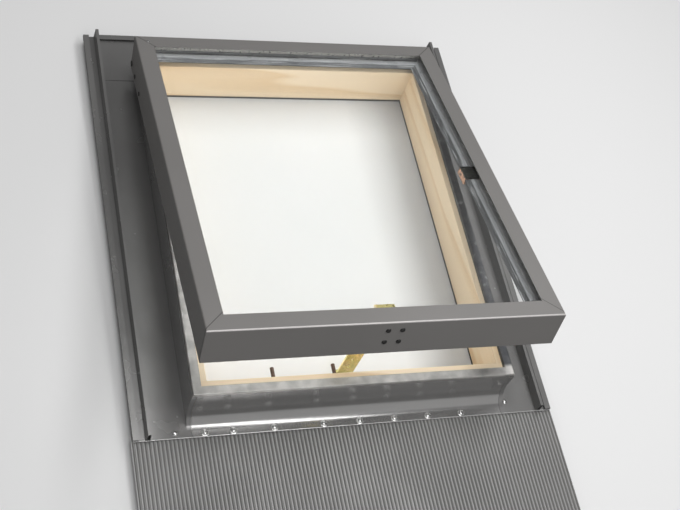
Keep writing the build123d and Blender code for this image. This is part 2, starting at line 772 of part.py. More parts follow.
# Stay bracket: a plate riveted to the foot rail, an arm in under the glass and a rolled eye
with BuildPart() as stay_bracket:
    with BuildSketch(sash_side(stay_x - bracket_w / 2)):
        with Locations((foot_edge + profile_t + bracket_t / 2, rivet_mid)):
            Rectangle(bracket_t, bracket_l)
        with BuildLine():
            Polyline(
                (foot_edge + profile_t, arm_level),
                (foot_edge + profile_t, arm_level + arm_t),
                (eye_along, arm_level + arm_t),
                (eye_along, arm_level),
                close=True,
            )
        make_face()
        with Locations((eye_along, eye_level)):
            Circle(eye_r)
            Circle(eye_pin_r, mode=Mode.SUBTRACT)
    extrude(amount=bracket_w)
    with BuildSketch(sash_level(eye_level - eye_r)):
        with Locations((stay_x, eye_along)):
            Rectangle(lug_knuckle_w + 2 * knuckle_gap, 2 * (eye_r + knuckle_gap))
    extrude(amount=2 * eye_r + knuckle_gap, mode=Mode.SUBTRACT)
    with BuildSketch(sash_front(foot_edge + profile_t)):
        with Locations((stay_x, rivet_mid)):
            with GridLocations(rivet_pitch_x, rivet_pitch_z, 2, 2):
                Circle(rivet_r)
    extrude(amount=-bracket_t, mode=Mode.SUBTRACT)
stay_bracket.part.label = "stay_bracket"
export_step(stay_bracket.part, "parts/stay_bracket.step")

with BuildPart() as stay_rivets:
    with BuildSketch(sash_front(foot_edge)):
        with Locations((stay_x, rivet_mid)):
            with GridLocations(rivet_pitch_x, rivet_pitch_z, 2, 2):
                Circle(rivet_r)
    extrude(amount=-(profile_t + bracket_t))
    with BuildSketch(sash_front(foot_edge)):
        with Locations((stay_x, rivet_mid)):
            with GridLocations(rivet_pitch_x, rivet_pitch_z, 2, 2):
                Circle(rivet_head_r)
    extrude(amount=rivet_head_t, taper=rivet_taper)
stay_rivets.part.label = "stay_rivets"
export_step(stay_rivets.part, "parts/stay_rivets.step")

with BuildPart() as stay_eye_pin:
    with BuildSketch(sash_side(stay_x - bracket_w / 2)):
        with Locations((eye_along, eye_level)):
            Circle(eye_pin_r)
    extrude(amount=bracket_w)
stay_eye_pin.part.label = "stay_eye_pin"
export_step(stay_eye_pin.part, "parts/stay_eye_pin.step")

# Lug: hangs straight down from the eye pin and carries the bar on a rivet
lug_near = bar_t / 2 + running * 2
with BuildPart() as stay_lug:
    with BuildSketch(Plane.YZ.offset(stay_x - lug_knuckle_w / 2)):
        with Locations((eye.Y, eye.Z)):
            Circle(eye_r)
        with Locations((eye.Y + lug_near + lug_t / 2, eye.Z - (pivot_drop + pivot_head_r) / 2)):
            Rectangle(lug_t, pivot_drop + pivot_head_r)
        with Locations((eye.Y, eye.Z)):
            Circle(eye_pin_r + running, mode=Mode.SUBTRACT)
    extrude(amount=lug_knuckle_w)
    with BuildSketch(Plane.XZ.offset(-(eye.Y + lug_near + lug_t))):
        with Locations((stay_x, pivot_z)):
            Circle(pivot_r)
    extrude(amount=lug_t, mode=Mode.SUBTRACT)
stay_lug.part.label = "stay_lug"
export_step(stay_lug.part, "parts/stay_lug.step")

with BuildPart() as stay_pivot:
    with BuildSketch(Plane.XZ.offset(-(eye.Y + lug_near + lug_t + pivot_head_t))):
        with Locations((stay_x, pivot_z)):
            Circle(pivot_head_r)
    extrude(amount=pivot_head_t)
    with BuildSketch(Plane.XZ.offset(-(eye.Y + lug_near + lug_t))):
        with Locations((stay_x, pivot_z)):
            Circle(pivot_r)
    extrude(amount=lug_t + 2 * lug_near)
    with BuildSketch(Plane.XZ.offset(-(eye.Y - lug_near))):
        with Locations((stay_x, pivot_z)):
            Circle(pivot_head_r)
    extrude(amount=pivot_head_t)
stay_pivot.part.label = "stay_pivot"
export_step(stay_pivot.part, "parts/stay_pivot.step")

# Stay bar: a punched flat bar with a rounded top, turned up at its foot as a finger grip
bar_top = pivot_z + bar_w / 2
bar_foot = pivot_z - bar_l
bar_near = eye.Y - bar_t / 2
bar_far = eye.Y + bar_t / 2
grip_y = bar_near + grip_r
grip_z = bar_foot + grip_r
hole_count = int((bar_l - bar_hole_first - 2 * grip_r) / bar_hole_pitch) + 1
with BuildPart() as stay_bar:
    with BuildSketch(Plane.YZ.offset(stay_x - bar_w / 2)):
        with BuildLine():
            Line((bar_near, bar_top), (bar_near, grip_z))
            RadiusArc((bar_near, grip_z), (grip_y, bar_foot), -grip_r)
            Polyline(
                (grip_y, bar_foot),
                (grip_y + grip_r, bar_foot),
                (grip_y + grip_r, bar_foot + bar_t),
                (grip_y, bar_foot + bar_t),
            )
            RadiusArc((grip_y, bar_foot + bar_t), (bar_far, grip_z), grip_r - bar_t)
            Polyline((bar_far, grip_z), (bar_far, bar_top), (bar_near, bar_top))
        make_face()
    extrude(amount=bar_w)
    with BuildSketch(Plane.XZ.offset(-bar_far)):
        with Locations((stay_x, pivot_z + bar_w / 4)):
            Rectangle(bar_w, bar_w / 2)
        with Locations((stay_x, pivot_z)):
            Circle(bar_w / 2, mode=Mode.SUBTRACT)
            Circle(pivot_r + running)
        with Locations([(stay_x, pivot_z - bar_hole_first - n * bar_hole_pitch) for n in range(hole_count)]):
            Circle(bar_hole_r)
    extrude(amount=bar_t, mode=Mode.SUBTRACT)
stay_bar.part.label = "stay_bar"
export_step(stay_bar.part, "parts/stay_bar.step")
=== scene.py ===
import json
from math import pi, radians

import bmesh
import bpy
from mathutils import Matrix, Vector


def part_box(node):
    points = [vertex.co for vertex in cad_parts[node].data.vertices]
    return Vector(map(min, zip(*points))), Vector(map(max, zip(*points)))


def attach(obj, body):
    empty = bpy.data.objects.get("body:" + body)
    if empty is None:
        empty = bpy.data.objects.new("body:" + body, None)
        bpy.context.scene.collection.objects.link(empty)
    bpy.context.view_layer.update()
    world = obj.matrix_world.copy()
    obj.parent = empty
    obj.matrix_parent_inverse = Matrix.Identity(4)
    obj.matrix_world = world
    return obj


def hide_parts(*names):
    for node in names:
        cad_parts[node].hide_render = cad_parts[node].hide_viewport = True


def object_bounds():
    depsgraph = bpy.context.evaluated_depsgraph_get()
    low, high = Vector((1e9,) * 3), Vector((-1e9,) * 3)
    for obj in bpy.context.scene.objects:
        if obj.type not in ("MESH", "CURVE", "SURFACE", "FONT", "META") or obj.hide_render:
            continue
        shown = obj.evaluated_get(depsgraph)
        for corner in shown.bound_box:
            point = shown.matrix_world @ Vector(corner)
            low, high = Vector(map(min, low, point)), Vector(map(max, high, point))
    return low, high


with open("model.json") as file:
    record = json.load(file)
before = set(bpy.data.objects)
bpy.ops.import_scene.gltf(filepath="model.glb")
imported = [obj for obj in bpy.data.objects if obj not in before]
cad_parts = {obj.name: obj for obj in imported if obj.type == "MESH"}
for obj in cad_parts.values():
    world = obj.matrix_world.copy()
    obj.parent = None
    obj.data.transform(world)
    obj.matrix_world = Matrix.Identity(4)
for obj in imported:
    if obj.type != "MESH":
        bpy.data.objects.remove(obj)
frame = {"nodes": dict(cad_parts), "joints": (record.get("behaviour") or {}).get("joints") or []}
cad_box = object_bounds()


# The frame's four pine boards, finger jointed at the corners and clear varnished.
# They are planed smooth, and the grain runs along each board.
def new_material(name, metallic, roughness):
    """A material whose shader has plain values, ready for its pattern."""
    material = bpy.data.materials.new(name)
    material.use_nodes = True
    shader = material.node_tree.nodes["Principled BSDF"]
    shader.inputs["Metallic"].default_value = metallic
    shader.inputs["Roughness"].default_value = roughness
    return material


def add(material, kind, inputs, **settings):
    """Adds a node, sets its settings, and feeds or sets its inputs."""
    node = material.node_tree.nodes.new("ShaderNode" + kind)
    for key, value in settings.items():
        setattr(node, key, value)
    for key, value in inputs.items():
        if isinstance(value, bpy.types.NodeSocket):
            material.node_tree.links.new(value, node.inputs[key])
        else:
            node.inputs[key].default_value = value
    return node


def place_on(material, scale=(1, 1, 1), turn=(0, 0, 0)):
    """Where a point of the surface is, in metres, stretched and turned for a pattern."""
    where = add(material, "TexCoord", {}).outputs["Object"]
    return add(material, "Mapping", {"Vector": where, "Scale": scale, "Rotation": turn}).outputs["Vector"]


def noise(material, where, scale, detail=3, roughness=0.55, distortion=0.0):
    """Soft random pattern, as a value from 0 to 1."""
    inputs = {
        "Vector": where,
        "Scale": scale,
        "Detail": detail,
        "Roughness": roughness,
        "Distortion": distortion,
    }
    return add(material, "TexNoise", inputs).outputs["Fac"]


def ramp(material, value, *stops):
    """Turns a pattern's value into a colour: each stop is a position and a colour."""
    node = add(material, "ValToRGB", {"Fac": value})
    first, last = node.color_ramp.elements
    first.position, last.position = stops[0][0], stops[-1][0]
    first.color, last.color = (*stops[0][1], 1), (*stops[-1][1], 1)
    for position, colour in stops[1:-1]:
        node.color_ramp.elements.new(position).color = (*colour, 1)
    return node.outputs["Color"]


def spread(material, value, low, high, start=0.3, end=0.7):
    """Turns a value that goes from start to end into one that goes from low to high."""
    inputs = {"Value": value, "From Min": start, "From Max": end, "To Min": low, "To Max": high}
    return add(material, "MapRange", inputs).outputs["Result"]


def mix(material, share, first, second, blend_type="MIX"):
    """Lays the second colour over the first by a share from 0 to 1."""
    inputs = {"Fac": share, "Color1": first, "Color2": second}
    return add(material, "MixRGB", inputs, blend_type=blend_type).outputs["Color"]


def feed(material, **sockets):
    """Connects patterns to the shader's sockets."""
    shader = material.node_tree.nodes["Principled BSDF"]
    for name, value in sockets.items():
        material.node_tree.links.new(value, shader.inputs[name.replace("_", " ")])


def bump(material, height, distance, strength=1.0):
    """Feeds a pattern to the shader's normal as relief of that depth in metres."""
    node = add(material, "Bump", {"Height": height, "Distance": distance, "Strength": strength})
    feed(material, Normal=node.outputs["Normal"])


def dress(material, *names):
    """Gives the material to CAD nodes."""
    for name in names:
        for slot in frame["nodes"][name].material_slots:
            slot.material = material


for name, ring_stretch, fibre_stretch, boards in (
    ("pine_across", (0.10, 1, 1), (0.015, 1, 1), ("frame_sill", "frame_head")),
    ("pine_along", (1, 0.10, 1), (1, 0.015, 1), ("frame_jamb_left", "frame_jamb_right")),
):
    pine = new_material(name, metallic=0.0, roughness=0.42)
    rings = add(
        pine,
        "TexWave",
        {
            "Vector": place_on(pine, ring_stretch),
            "Scale": 13,
            "Distortion": 7.0,
            "Detail": 1.5,
            "Detail Scale": 1.6,
            "Detail Roughness": 0.4,
        },
        wave_type="BANDS",
        bands_direction="DIAGONAL",
        wave_profile="SAW",
    ).outputs["Fac"]
    fibre = noise(pine, place_on(pine, fibre_stretch), scale=700, detail=2)
    grain = ramp(
        pine,
        rings,
        (0.0, (0.93, 0.77, 0.56)),
        (0.6, (0.92, 0.75, 0.53)),
        (0.9, (0.83, 0.62, 0.38)),
        (1.0, (0.93, 0.765, 0.55)),
    )
    tone = ramp(pine, fibre, (0.3, (0.96, 0.955, 0.94)), (0.7, (1.0, 1.0, 1.0)))
    feed(
        pine,
        Base_Color=mix(pine, 1.0, grain, tone, "MULTIPLY"),
        Roughness=spread(pine, fibre, low=0.36, high=0.52),
    )
    bump(pine, fibre, distance=0.00015, strength=0.5)
    dress(pine, *boards)

# Two short turned pegs of dark brown plastic, pressed into the sill.
# The stay bar is turned under them to lock the window.
peg_brown = new_material("peg_brown", metallic=0.0, roughness=0.5)
mottle = noise(peg_brown, place_on(peg_brown), scale=300)
feed(peg_brown, Base_Color=ramp(peg_brown, mottle, (0.3, (0.07, 0.035, 0.02)), (0.7, (0.14, 0.08, 0.05))))
dress(peg_brown, "sill_pegs")


# Flashing of thin coated sheet: two side gutters with a standing rib, the head piece and the apron.
# The sheets are folded on a brake and lapped, so their flat parts are a little wavy.
def coated_sheet(name, metallic, smooth, rough, dull, clean):
    """Wavy coated sheet: its colour is from dull to clean, its roughness from smooth to rough."""
    sheet = new_material(name, metallic, roughness=0.3)
    where = place_on(sheet)
    feed(
        sheet,
        Base_Color=ramp(sheet, noise(sheet, where, scale=9, detail=4), (0.3, dull), (0.7, clean)),
        Roughness=spread(sheet, noise(sheet, where, scale=30, detail=2), smooth, rough),
    )
    bump(sheet, noise(sheet, where, scale=14, detail=1), distance=0.0022, strength=0.15)
    return sheet


flashing_grey = coated_sheet(
    "flashing_grey",
    metallic=0.5,
    smooth=0.22,
    rough=0.28,
    dull=(0.235, 0.232, 0.229),
    clean=(0.262, 0.259, 0.255),
)
dress(flashing_grey, "gutter_left", "gutter_right", "head_flashing")
# The apron is a lighter copy of the gutters' sheet: its paler colour is painted light, and the gutters'
# darker one stands for shade on them.
apron_painted_lighter = coated_sheet(
    "apron_painted_lighter",
    metallic=0.75,
    smooth=0.19,
    rough=0.24,
    dull=(0.345, 0.341, 0.337),
    clean=(0.380, 0.375, 0.370),
)
dress(apron_painted_lighter, "apron")


# Skirt below the apron, pleated from soft aluminium sheet with a grey coat.
# It is dressed down by hand, so it has soft shiny patches, and the valleys of its pleats are painted paler
# as painted light over their shade.
def parts_of(material, where):
    """The X, Y and Z of a place, each as a value."""
    return add(material, "SeparateXYZ", {"Vector": where}).outputs


skirt_grey = new_material("skirt_grey", metallic=0.2, roughness=0.5)
where = place_on(skirt_grey)
patch = noise(skirt_grey, where, scale=9, detail=2, roughness=0.5)
pleat_low, pleat_high = 0.0119, 0.0139
height = spread(skirt_grey, parts_of(skirt_grey, where)["Z"], 0.0, 1.0, pleat_low, pleat_high)
# Painted light: the valleys are painted paler than the crests, against the shade between the pleats.
painted_light_valley = (0.37, 0.367, 0.362, 1)
# The crests' tone differs at random, and is painted a little paler where they are shinier, as painted sheen.
crest_tone_and_sheen = ramp(skirt_grey, patch, (0.35, (0.165, 0.163, 0.160)), (0.72, (0.20, 0.197, 0.193)))
feed(
    skirt_grey,
    Base_Color=mix(skirt_grey, height, painted_light_valley, crest_tone_and_sheen),
    Roughness=spread(skirt_grey, patch, low=0.55, high=0.42, start=0.45, end=0.72),
)
bump(skirt_grey, noise(skirt_grey, where, scale=12, detail=1), distance=0.002, strength=0.25)
dress(skirt_grey, "pleated_skirt")


# Domed rivets of bright aluminium, each on a thin washer.
# They hold the apron to the skirt and the ends of the gutters to the apron.
def turned(shape, outline, place, steps=24):
    """Adds a turned form: outline is radius and height in metres, and place moves it."""
    old = set(shape.verts)
    line = [shape.verts.new((radius, 0, height)) for radius, height in outline]
    edges = [shape.edges.new(pair) for pair in zip(line, line[1:])]
    bmesh.ops.spin(
        shape, geom=line + edges, cent=(0, 0, 0), axis=(0, 0, 1), angle=2 * pi, steps=steps, use_merge=True
    )
    added = [vert for vert in shape.verts if vert not in old]
    bmesh.ops.transform(shape, matrix=place, verts=added)


def finish_piece(name, shape, material, body, smooth_below=35):
    """Makes the bmesh a piece that rides on a body and takes its finish from a slot."""
    bmesh.ops.remove_doubles(shape, verts=shape.verts, dist=1e-6)
    bmesh.ops.recalc_face_normals(shape, faces=shape.faces)
    for face in shape.faces:
        face.smooth = True
    for edge in shape.edges:
        edge.smooth = edge.calc_face_angle(0) < radians(smooth_below)
    mesh = bpy.data.meshes.new(name)
    shape.to_mesh(mesh)
    shape.free()
    piece = bpy.data.objects.new(name, mesh)
    bpy.context.scene.collection.objects.link(piece)
    mesh.materials.append(material)
    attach(piece, body)
    return piece


def worn(name, metallic, scale, detail, dark, light, smooth, rough):
    """Finely worn material: its colour has a dark and a light stop, its roughness is smooth to rough."""
    material = new_material(name, metallic, (smooth + rough) / 2)
    wear = noise(material, place_on(material), scale, detail)
    feed(
        material,
        Base_Color=ramp(material, wear, dark, light),
        Roughness=spread(material, wear, smooth, rough),
    )
    return material


bright_aluminium = worn(
    "bright_aluminium",
    metallic=1.0,
    scale=500,
    detail=4,
    dark=(0.3, (0.55, 0.55, 0.54)),
    light=(0.7, (0.80, 0.80, 0.79)),
    smooth=0.18,
    rough=0.38,
)
sheet_thickness = 0.0008
pan_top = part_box("apron")[0][2] + sheet_thickness
apron_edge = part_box("apron")[0][1]
frame_half_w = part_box("frame_jamb_right")[1][0]
dome_radius = 0.0048
apron_dome = (
    (dome_radius, 0), (0.0046, 0.0007), (0.0040, 0.0008), (0.0034, 0.0003),
    (0.0031, 0.0010), (0.0022, 0.0018), (0, 0.0021),
)
seam_dome = ((0.0034, 0), (0.0033, 0.0005), (0.0024, 0.0012), (0.0012, 0.0016), (0, 0.0017))
rivets = bmesh.new()
for share in (-0.902, -0.735, -0.488, -0.186, 0.042, 0.265, 0.484, 0.707):
    centre = (share * frame_half_w, apron_edge + dome_radius, pan_top)
    turned(rivets, apron_dome, Matrix.Translation(centre))
for across, from_edge in ((-0.2308, 0.007), (0.2198, 0.016)):
    turned(rivets, seam_dome, Matrix.Translation((across, apron_edge + from_edge, pan_top)))
apron_domes = finish_piece("apron_domes", rivets, bright_aluminium, "frame")
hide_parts("apron_rivets", "seam_rivets")
dress(bright_aluminium, "flange_rivet", "clip_screw")

# Lower edges of the gutters and the apron, folded back under into a narrow round hem.
# Its colour is much paler than the sheet's, a painted highlight that shows as a thin line.
hem_painted_highlight = coated_sheet(
    "hem_painted_highlight", metallic=0.5, smooth=0.22, rough=0.28, dull=(0.50, 0.495, 0.49), clean=(0.60, 0.595, 0.59)
)
hem_radius = 0.0008
hem_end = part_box("gutter_right")[1][0] - 0.0002
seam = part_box("apron")[1][0] + 0.0002
seam_gap = 0.0003
hem_line = bmesh.new()
for start, end in (
    (-hem_end, -seam - seam_gap),
    (-seam + seam_gap, seam - seam_gap),
    (seam + seam_gap, hem_end),
):
    turned(
        hem_line,
        ((0, 0), (hem_radius, 0), (hem_radius, end - start), (0, end - start)),
        Matrix.Translation((start, apron_edge, pan_top)) @ Matrix.Rotation(pi / 2, 4, "Y"),
        steps=12,
    )
finish_piece("hem_line", hem_line, hem_painted_highlight, "frame")


# Seal on the frame's folded top edge: a soft strip under a shiny grey foil.
# It was pressed on by hand, so the foil is crinkled and catches the light unevenly.
# The foil is painted pale on the sill, head and left board as painted light, and dark on the right board as
# painted shade.
def reckon(material, operation, *values):
    """One step of arithmetic on a pattern's values."""
    return add(material, "Math", dict(enumerate(values)), operation=operation).outputs[0]


foil_ends = (0.247, 0.252)
foil_left = (-0.205, -0.200)
seal_foil = new_material("seal_foil", metallic=0.7, roughness=0.34)
where = place_on(seal_foil)
crinkle = noise(seal_foil, where, scale=55, detail=3, roughness=0.5, distortion=0.3)
in_frame = parts_of(seal_foil, where)
on_ends = spread(seal_foil, reckon(seal_foil, "ABSOLUTE", in_frame["Y"]), 0.0, 1.0, *foil_ends)
on_left = spread(seal_foil, in_frame["X"], 1.0, 0.0, *foil_left)
painted_lit_foil = ramp(seal_foil, crinkle, (0.35, (0.45, 0.44, 0.425)), (0.65, (0.64, 0.62, 0.60)))
# Painted glints: the painted shade of the right board has pale flecks on the crinkles' tips.
painted_shaded_foil = ramp(
    seal_foil,
    crinkle,
    (0.40, (0.085, 0.088, 0.095)),
    (0.60, (0.13, 0.133, 0.14)),
    (0.72, (0.40, 0.40, 0.40)),
)
feed(
    seal_foil,
    Base_Color=mix(seal_foil, reckon(seal_foil, "MAXIMUM", on_ends, on_left), painted_shaded_foil, painted_lit_foil),
    Roughness=spread(seal_foil, crinkle, low=0.30, high=0.40),
)
bump(seal_foil, crinkle, distance=0.0012, strength=0.25)
dress(seal_foil, "frame_seal")

# Galvanised steel fittings: fixing angles, hinge leaves and screws, corner angles and the stay's eye pin.
# They have the soft spangle of a zinc bath, and most are stamped from plate.
# The hinge pins and the rivets of the hinges and the stay are darker steel.
zinc = new_material("zinc", metallic=1.0, roughness=0.38)
spangle = add(zinc, "TexVoronoi", {"Vector": place_on(zinc), "Scale": 260}).outputs["Distance"]
feed(
    zinc,
    Base_Color=ramp(zinc, spangle, (0.1, (0.42, 0.43, 0.44)), (0.8, (0.60, 0.61, 0.62))),
    Roughness=spread(zinc, spangle, low=0.28, high=0.48, start=0.1, end=0.8),
)
for side in ("left", "right"):
    dress(zinc, f"fixing_angle_{side}_low", f"fixing_angle_{side}_high")
    dress(zinc, f"hinge_frame_leaf_{side}", f"hinge_sash_leaf_{side}")
dress(zinc, "hinge_screws", "corner_angles", "stay_eye_pin")
dark_steel = worn(
    "dark_steel",
    metallic=0.4,
    scale=400,
    detail=4,
    dark=(0.35, (0.02, 0.02, 0.02)),
    light=(0.7, (0.05, 0.048, 0.046)),
    smooth=0.3,
    rough=0.5,
)
dress(dark_steel, "hinge_pin_left", "hinge_pin_right", "hinge_rivets", "stay_rivets")

# Sash of four folded aluminium profiles, mitred at the corners and powder coated in satin grey.
# Each has a flange over the glass, a deep outer wall and a small lip turned in at its foot.
# The mitres show as fine dark lines, and the fold of the foot rail is painted pale as a painted highlight.
hinge = frame["joints"][0]
sash_angle = radians(-hinge["range_deg"][0])
# These places are in coordinates turned back by the angle at which the sash stands open.
mitre_middle, mitre_offset, mitre_half_w = -0.018, 0.0485, 0.0006
fold_front = (-0.2944, -0.2938)
fold_top = (0.1505, 0.1511)
sash_grey = new_material("sash_grey", metallic=0.15, roughness=0.46)
where = place_on(sash_grey)
coat = noise(sash_grey, where, scale=1800, detail=2)
shade = noise(sash_grey, where, scale=6, detail=2)
powder = ramp(sash_grey, shade, (0.3, (0.226, 0.218, 0.211)), (0.7, (0.245, 0.236, 0.229)))
in_sash = parts_of(sash_grey, place_on(sash_grey, turn=(sash_angle, 0, 0)))
from_side = reckon(sash_grey, "ABSOLUTE", in_sash["X"])
from_middle = reckon(sash_grey, "ABSOLUTE", reckon(sash_grey, "SUBTRACT", in_sash["Y"], mitre_middle))
diagonal = reckon(sash_grey, "SUBTRACT", from_middle, from_side)
on_mitre = reckon(sash_grey, "COMPARE", diagonal, mitre_offset, mitre_half_w)
mitred = mix(sash_grey, on_mitre, powder, (0.07, 0.068, 0.066, 1))
# Painted highlight: the front top fold of the foot rail is painted pale.
at_front = spread(sash_grey, in_sash["Y"], 1.0, 0.0, *fold_front)
at_top = spread(sash_grey, in_sash["Z"], 0.0, 1.0, *fold_top)
painted_fold_highlight = reckon(sash_grey, "MULTIPLY", at_front, at_top)
feed(
    sash_grey,
    Base_Color=mix(sash_grey, painted_fold_highlight, mitred, (0.60, 0.575, 0.565, 1)),
    Roughness=spread(sash_grey, coat, low=0.40, high=0.50),
)
bump(sash_grey, coat, distance=0.00006, strength=0.6)
dress(sash_grey, "sash_stile_left", "sash_stile_right", "sash_head_rail", "sash_foot_rail")

# Insulating glass: two panes of clear float glass with a folded aluminium spacer between them.
# Its edge is filled with black sealant, and black tape and blocks bed it in the sash.
clear_glass = new_material("clear_glass", metallic=0.0, roughness=0.0)
glass_nodes = clear_glass.node_tree.nodes
glass_nodes["Principled BSDF"].inputs["Transmission Weight"].default_value = 1.0
glass_nodes["Principled BSDF"].inputs["IOR"].default_value = 1.45
smear = noise(clear_glass, place_on(clear_glass), scale=7, detail=3)
feed(
    clear_glass,
    Base_Color=ramp(clear_glass, smear, (0.3, (0.990, 0.993, 0.990)), (0.7, (0.998, 0.998, 0.997))),
    Roughness=spread(clear_glass, smear, low=0.0, high=0.012),
)
is_shadow = add(clear_glass, "LightPath", {}).outputs["Is Shadow Ray"]
open_glass = add(clear_glass, "BsdfTransparent", {"Color": (0.95, 0.955, 0.95, 1)}).outputs["BSDF"]
solid_glass = glass_nodes["Principled BSDF"].outputs["BSDF"]
lit_glass = add(clear_glass, "MixShader", {0: is_shadow, 1: solid_glass, 2: open_glass}).outputs["Shader"]
clear_glass.node_tree.links.new(lit_glass, glass_nodes["Material Output"].inputs["Surface"])
dress(clear_glass, "outer_glass", "inner_glass")
spacer_metal = worn(
    "spacer_metal",
    metallic=1.0,
    scale=350,
    detail=2,
    dark=(0.3, (0.62, 0.60, 0.57)),
    light=(0.7, (0.76, 0.74, 0.70)),
    smooth=0.24,
    rough=0.4,
)
dress(spacer_metal, "glass_spacer")
black_rubber = worn(
    "black_rubber",
    metallic=0.0,
    scale=120,
    detail=4,
    dark=(0.3, (0.016, 0.016, 0.017)),
    light=(0.75, (0.035, 0.035, 0.036)),
    smooth=0.4,
    rough=0.6,
)
dress(black_rubber, "lining_seal", "edge_sealant", "glazing_tape", "setting_blocks")

# Wide seal under the glass: a glossy dark strip with one raised rib, drawn out and stuck to the inner pane.
# Pale painted highlights streak along each strip, and it is cut away where the stay bracket and the clip
# pass.
# It is shaped as it lies in the closed sash, with the hinge at the origin, and then opened with the sash.
seal_half_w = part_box("sash_gasket")[1][0]
seal_foot, seal_head, seal_top = -0.5286, -0.0042, 0.0254
seal_middle = (seal_head + seal_foot) / 2
seal_half_l = (seal_head - seal_foot) / 2
seal_wall = 0.0008
left_share, foot_share = 0.68, 0.85
clip_cut = (-0.280, -0.253)
bracket_cut = (-0.010, 0.016)
edge_height = -0.0016
# Each step in from the edge, and the height that the seal has there, from its top.
profile = (
    (0.0015, -0.0006), (0.0025, -0.0003), (0.0020, -0.0009), (0.0015, -0.0022), (0.0015, -0.0020),
    (0.0020, -0.0006), (0.0025, -0.0001), (0.0025, 0.0), (0.0025, -0.0005), (0.0015, -0.0014),
    (0.0040, -0.0013), (0.0030, -0.0012), (0.0010, -0.0016),
)
band = bmesh.new()
for x, y in (
    (-seal_half_w, seal_foot), (seal_half_w, seal_foot), (seal_half_w, seal_head), (-seal_half_w, seal_head)
):
    band.verts.new((x, y, seal_top + edge_height))
middle = band.faces.new(band.verts)
for step_in, height in profile:
    bmesh.ops.inset_individual(band, faces=[middle], thickness=step_in, use_even_offset=True)
    for vert in middle.verts:
        vert.co.z = seal_top + height
for vert in band.verts:
    if vert.co.x < 0:
        vert.co.x = -seal_half_w + (vert.co.x + seal_half_w) * left_share
    if vert.co.y < seal_middle:
        vert.co.y = seal_foot + (vert.co.y - seal_foot) * foot_share
bmesh.ops.delete(band, geom=[middle], context="FACES")
for cuts, direction in ((clip_cut, Vector((0, 1, 0))), (bracket_cut, Vector((1, 0, 0)))):
    for cut in cuts:
        whole = band.verts[:] + band.edges[:] + band.faces[:]
        bmesh.ops.bisect_plane(band, geom=whole, plane_co=cut * direction, plane_no=direction)
gone = []
for face in band.faces:
    centre = face.calc_center_median()
    by_clip = centre.x > 0 and clip_cut[0] < centre.y < clip_cut[1]
    by_bracket = centre.y < seal_middle and bracket_cut[0] < centre.x < bracket_cut[1]
    if by_clip or by_bracket:
        gone.append(face)
    on_side = seal_half_w - abs(centre.x) < seal_half_l - abs(centre.y - seal_middle)
    face.material_index = 0 if on_side else 1
bmesh.ops.delete(band, geom=gone, context="FACES")
bmesh.ops.recalc_face_normals(band, faces=band.faces)
bmesh.ops.solidify(band, geom=band.faces[:], thickness=seal_wall)
sash_place = Matrix.Translation(hinge["pos_m"]) @ Matrix.Rotation(-sash_angle, 4, "X")
bmesh.ops.transform(band, matrix=sash_place, verts=band.verts)
rib_height = (0.1312, 0.1336)
stile_side = (0.2030, 0.2045)
seal_slates = []
# The strips across the head and the foot have a paler plateau than the side strips, as painted light.
for name, stretch, plateau in (("slate_along", (1, 0.03, 0.1), 0.045), ("slate_across", (0.03, 1, 1), 0.12)):
    slate = new_material(name, metallic=0.1, roughness=0.3)
    smudge = noise(slate, place_on(slate), scale=26, detail=4, roughness=0.6)
    streak = noise(slate, place_on(slate, stretch), scale=420, detail=3, roughness=0.6)
    level = parts_of(slate, place_on(slate, turn=(sash_angle, 0, 0)))["Z"]
    across = parts_of(slate, place_on(slate))["X"]
    plateau_slate = (plateau, 1.04 * plateau, 1.1 * plateau)
    # Painted light and shade by height: near black in the lowest groove, dark on the plateau and pale on the
    # rib.
    painted_relief_shade = ramp(
        slate,
        spread(slate, level, 0.0, 1.0, *rib_height),
        (0.1, (0.020, 0.021, 0.023)),
        (0.35, plateau_slate),
        (0.52, plateau_slate),
        (0.62, (0.25, 0.255, 0.265)),
        (0.9, (0.28, 0.285, 0.295)),
    )
    # Painted highlights: thin pale streaks along the strip.
    painted_streak_highlight = spread(slate, streak, low=0.0, high=0.75, start=0.54, end=0.66)
    painted_relief_and_streaks = mix(slate, painted_streak_highlight, painted_relief_shade, (0.50, 0.505, 0.515, 1))
    # Painted light: the outer edge by the right stile, which lies in shade, is painted pale.
    painted_light_by_stile = spread(slate, across, 0.0, 0.85, *stile_side)
    feed(
        slate,
        Base_Color=mix(slate, painted_light_by_stile, painted_relief_and_streaks, (0.6, 0.605, 0.615, 1)),
        Roughness=spread(slate, smudge, low=0.22, high=0.42),
    )
    bump(slate, streak, distance=0.0006, strength=0.6)
    seal_slates.append(slate)
under_glass_seal = finish_piece(
    "under_glass_seal", band, seal_slates[0], "sash", smooth_below=60
)
under_glass_seal.data.materials.append(seal_slates[1])
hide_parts("sash_gasket")

# Clip bent from bronzed strip, screwed inside the right stile and reaching in under the glass.
# Its flat top is painted near black as a painted dark reflection, and its bent edges keep the mottled bronze
# colour.
flat_height = (0.1320, 0.1330)
bronze = new_material("bronze", metallic=0.85, roughness=0.3)
tarnish = noise(bronze, place_on(bronze), scale=160, detail=4)
mottled_bronze = ramp(bronze, tarnish, (0.35, (0.16, 0.075, 0.035)), (0.65, (0.46, 0.25, 0.15)))
level = parts_of(bronze, place_on(bronze, turn=(sash_angle, 0, 0)))["Z"]
# Painted dark reflection: the flat top is near black.
painted_dark_top = spread(bronze, level, 0.0, 1.0, *flat_height)
feed(
    bronze,
    Base_Color=mix(bronze, painted_dark_top, mottled_bronze, (0.022, 0.024, 0.014, 1)),
    Roughness=spread(bronze, tarnish, low=0.2, high=0.4),
)
dress(bronze, "stile_clip")

